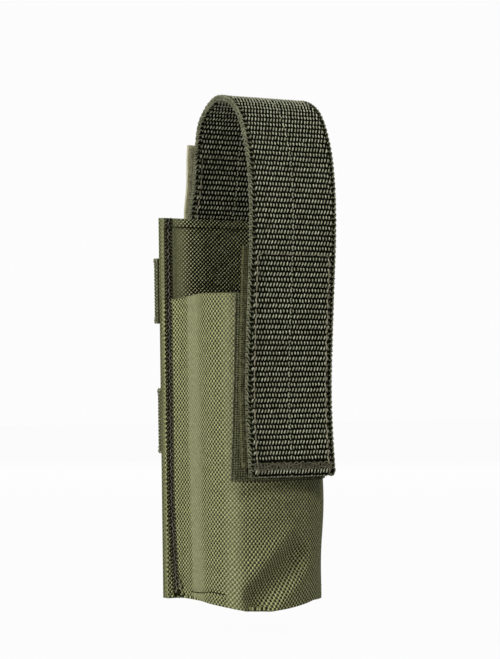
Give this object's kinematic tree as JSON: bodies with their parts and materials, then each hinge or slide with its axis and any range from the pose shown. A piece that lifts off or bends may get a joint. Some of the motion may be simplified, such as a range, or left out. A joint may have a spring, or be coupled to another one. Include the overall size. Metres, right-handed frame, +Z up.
{
  "type": "flashlight pouch",
  "caption": "Narrow woven-nylon pouch with a D-shaped body, an arched hook-and-loop flap strap and webbing attachment rows with a snap strap on the back.",
  "frame": {"origin": "on the middle of the upper attachment row's rear face, which lies against the carrier", "axes": "+Z up towards the mouth, +Y out of the back towards the wearer, +X to the right of a viewer who faces the front"},
  "size_m": [0.0626, 0.0641, 0.1967],
  "materials": {
    "olive_cloth": "coarse plain-woven nylon",
    "flap_webbing": "heavy ribbed webbing",
    "row_webbing": "flat webbing",
    "hook_tape": "short plastic hooks",
    "loop_tape": "fuzzy loops",
    "black_plastic": "matt",
    "blackened_brass": "black oxide"
  },
  "bodies": {
    "pouch": {"back_panel_inner": "olive_cloth", "back_panel_outer": "olive_cloth", "sleeve_loop_lining": "loop_tape", "pouch_body": "olive_cloth", "bottom_panel": "olive_cloth", "front_loop_tape": "loop_tape", "pals_row_upper": "row_webbing", "pals_row_lower": "row_webbing", "attachment_strap_sewn_end": "row_webbing", "snap_stud": "blackened_brass", "snap_post": "blackened_brass"},
    "flap_tail": {"flap_tail_webbing": "flap_webbing", "tail_hook_tape": "hook_tape"},
    "flap_arch": {"flap_arch_webbing": "flap_webbing", "arch_hook_tape": "hook_tape"},
    "flap_front": {"flap_front_webbing": "flap_webbing", "flap_hook_tape": "hook_tape"},
    "attachment_strap": {"attachment_strap_webbing": "row_webbing", "attachment_strap_stiffener": "black_plastic", "attachment_strap_lining": "olive_cloth", "snap_cap": "blackened_brass", "snap_socket": "blackened_brass"}
  },
  "joints": [
    {"name": "flap_height", "type": "slide", "parent": "pouch", "child": "flap_tail", "axis": [0, 0, 1], "range_m": [0, 0.03]},
    {"name": "flap_swing", "type": "hinge", "parent": "flap_tail", "child": "flap_arch", "pos_m": [0, -0.0016, 0.02845], "axis": [-1, 0, 0], "range_deg": [0, 110]},
    {"name": "flap_peel", "type": "hinge", "parent": "flap_arch", "child": "flap_front", "pos_m": [0, -0.0561, 0.02115], "axis": [-1, 0, 0], "range_deg": [0, 150]},
    {"name": "attachment_strap_swing", "type": "hinge", "parent": "pouch", "child": "attachment_strap", "pos_m": [0, 0.0066, 0.01445], "axis": [1, 0, 0], "range_deg": [0, 100]}
  ]
}
